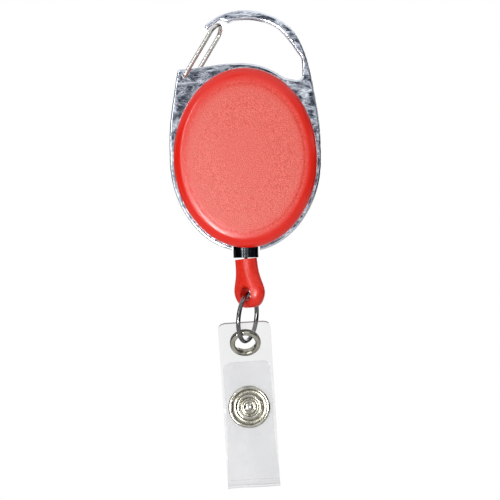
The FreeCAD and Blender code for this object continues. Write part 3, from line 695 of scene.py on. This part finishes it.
def lathe(name, outline, centre, frame_matrix, turns=112, rounds=2):
    """A closed (radius, y) outline in millimetres, softened and turned about Y."""
    loop = list(outline)
    for _ in range(rounds):
        softer = []
        for index, (ra, ya) in enumerate(loop):
            rb, yb = loop[(index + 1) % len(loop)]
            if ra == 0 and rb == 0:
                softer.append((0.0, ya))
                softer.append((0.0, yb))
                continue
            first = 0.0 if ra == 0 else ra * 0.75 + rb * 0.25
            second = 0.0 if rb == 0 else ra * 0.25 + rb * 0.75
            softer.append((first, ya if ra == 0 else ya * 0.75 + yb * 0.25))
            softer.append((second, yb if rb == 0 else ya * 0.25 + yb * 0.75))
        loop = [point for index, point in enumerate(softer) if point != softer[index - 1]]
    bm = bmesh.new()
    rings = []
    for radius, y in loop:
        if radius < 1e-6:
            rings.append([bm.verts.new((centre[0], centre[1] + y, centre[2]))])
            continue
        ring = []
        for turn in range(turns):
            angle = 2 * math.pi * turn / turns
            x, z = radius * math.cos(angle), radius * math.sin(angle)
            ring.append(bm.verts.new((centre[0] + x, centre[1] + y, centre[2] + z)))
        rings.append(ring)
    for index, ring in enumerate(rings):
        following = rings[(index + 1) % len(rings)]
        if len(ring) == 1 and len(following) == 1:
            continue
        for turn in range(turns):
            after = (turn + 1) % turns
            if len(ring) == 1:
                bm.faces.new((ring[0], following[turn], following[after]))
            elif len(following) == 1:
                bm.faces.new((ring[turn], following[0], ring[after]))
            else:
                bm.faces.new((ring[turn], following[turn], following[after], ring[after]))
    bmesh.ops.recalc_face_normals(bm, faces=bm.faces)
    mesh = bpy.data.meshes.new(name)
    bm.to_mesh(mesh)
    bm.free()
    mesh.transform(Matrix.Scale(mm, 4) @ frame_matrix)
    return put_object(name, mesh)


def nickel_piece(name, outline, centre, frame_matrix, body, *stands_for):
    """A turned outline in nickel that rides on a body in place of CAD nodes."""
    piece = lathe(name, outline, centre, frame_matrix)
    piece.data.materials.append(nickel)
    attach(piece, body)
    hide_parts(*stands_for)
    return piece


# A darker nickel for the eyelet's bore and rim edge and the snap ring's dishes: painted shade.
nickel_painted_shade = new_material("nickel_with_painted_shade", Metallic=1.0)
give(
    nickel_painted_shade,
    Base_Color=tint(nickel_painted_shade, grain(nickel_painted_shade, 1100), (0.20, 0.19, 0.15), (0.42, 0.40, 0.33)),
    Roughness=spread(nickel_painted_shade, grain(nickel_painted_shade, 2500), 0.12, 0.28),
    Normal=emboss(nickel_painted_shade, grain(nickel_painted_shade, 1200, 2.0), 0.03 * mm, 0.4),
)

eyelet_outline = [
    (2.30, -0.30), (2.38, -0.62), (2.65, -0.75), (2.98, -0.74), (3.28, -0.62), (3.46, -0.42),
    (3.50, -0.25), (3.30, -0.25), (2.65, -0.25), (2.65, 0.70), (2.85, 0.70), (2.75, 0.90),
    (2.42, 0.95), (2.30, 0.80),
]
washer_outline = [
    (2.65, 0.25), (3.50, 0.25), (3.48, 0.40), (3.38, 0.55), (2.85, 0.60), (2.65, 0.60),
]
eyelet_middle = Vector((0, 0, 0))
barrel = nickel_piece(
    "eyelet_barrel", eyelet_outline, eyelet_middle, eyelet_frame, "strap", "eyelet"
)
barrel.data.materials.append(nickel_painted_shade)
barrel_inside_r = 2.62
rim_outside_r = 3.36
barrel_axis = (eyelet_frame.to_3x3() @ Vector((0, 1, 0))).normalized()
# Faces in the bore and round the rim's outer edge take the darker nickel: painted shade.
for face in barrel.data.polygons:
    from_eyelet = face.center / mm - eyelet_place
    from_axis = (from_eyelet - barrel_axis * from_eyelet.dot(barrel_axis)).length
    if from_axis < barrel_inside_r or from_axis > rim_outside_r:
        face.material_index = 1
nickel_piece(
    "eyelet_back_washer", washer_outline, eyelet_middle, eyelet_frame, "strap", "eyelet_washer"
)

# ---------------------------------------------------------------- snap
# Four stamped pieces: a dished ring with a rolled rim in front, riveted through
# the flap into the stud, and a socket riveted through the back layer to a cap.
skin = front_y - vinyl_t / 2
inner = front_y + vinyl_t / 2
ring_outline = [
    (0, skin - 0.10), (0, skin - 0.34), (0.45, skin - 0.40), (0.80, skin - 0.28),
    (0.95, skin - 0.20), (1.10, skin - 0.42), (1.35, skin - 0.46), (1.55, skin - 0.34),
    (1.65, skin - 0.14), (2.05, skin - 0.14), (2.22, skin - 0.42), (2.45, skin - 0.56),
    (2.75, skin - 0.52), (2.95, skin - 0.30), (3.15, skin - 0.14), (3.70, skin - 0.14),
    (3.95, skin - 0.24), (4.02, skin - 0.55), (4.15, skin - 0.75), (4.50, skin - 0.75),
    (4.72, skin - 0.55), (4.75, skin - 0.25), (4.68, skin - 0.05), (4.40, skin), (1.0, skin),
    (1.0, inner + 0.35), (0.75, inner + 0.35), (0.75, skin - 0.05),
]
snap_centre = Vector((0, 0, snap_z))
snap_front = nickel_piece(
    "snap_front_ring", ring_outline, snap_centre, strap_frame, "flap", "snap_ring"
)
snap_front.data.materials.append(nickel_painted_shade)
snap_middle = strap_frame @ snap_centre * mm
outer_dish = (3.02, 3.95)
inner_dish = (1.6, 2.2)
# Forward-facing faces in the front ring's two dishes take the darker nickel: painted shade.
for face in snap_front.data.polygons:
    out = math.hypot(face.center.x - snap_middle.x, face.center.z - snap_middle.z) / mm
    painted_shade_in_dish = outer_dish[0] < out < outer_dish[1] or inner_dish[0] < out < inner_dish[1]
    if painted_shade_in_dish and face.normal.y < -0.5:
        face.material_index = 1
stud_face = inner + 0.35
stud_outline = [
    (1.0, inner), (3.80, inner), (3.80, stud_face), (1.45, stud_face), (1.25, stud_face + 0.35),
    (1.50, stud_face + 0.95), (1.40, stud_face + 1.35), (1.0, stud_face + 1.50),
    (0, stud_face + 1.50), (0, stud_face + 1.25), (1.0, stud_face + 1.15),
]
nickel_piece("snap_knob", stud_outline, snap_centre, strap_frame, "flap", "snap_stud")
socket_face = stud_face + 0.15
socket_foot = back_y - vinyl_t / 2
socket_outline = [
    (1.80, socket_face), (3.85, socket_face), (4.10, socket_face + 0.25), (4.10, socket_foot),
    (1.0, socket_foot), (1.0, socket_foot - 0.2), (2.60, socket_foot - 0.2),
    (2.60, socket_face + 0.35), (1.80, socket_face + 0.35),
]
nickel_piece("snap_well", socket_outline, snap_centre, strap_frame, "strap", "snap_socket")
cap_skin = back_y + vinyl_t / 2
cap_outline = [
    (0, cap_skin + 0.55), (0, cap_skin + 0.80), (1.4, cap_skin + 0.79), (2.6, cap_skin + 0.74),
    (3.5, cap_skin + 0.62), (4.2, cap_skin + 0.45), (4.62, cap_skin + 0.22),
    (4.65, cap_skin + 0.05), (4.4, cap_skin), (1.0, cap_skin), (1.0, socket_foot - 0.2),
    (0.7, socket_foot - 0.2), (0.7, cap_skin + 0.5),
]
nickel_piece("snap_back_cap", cap_outline, snap_centre, strap_frame, "strap", "snap_cap")
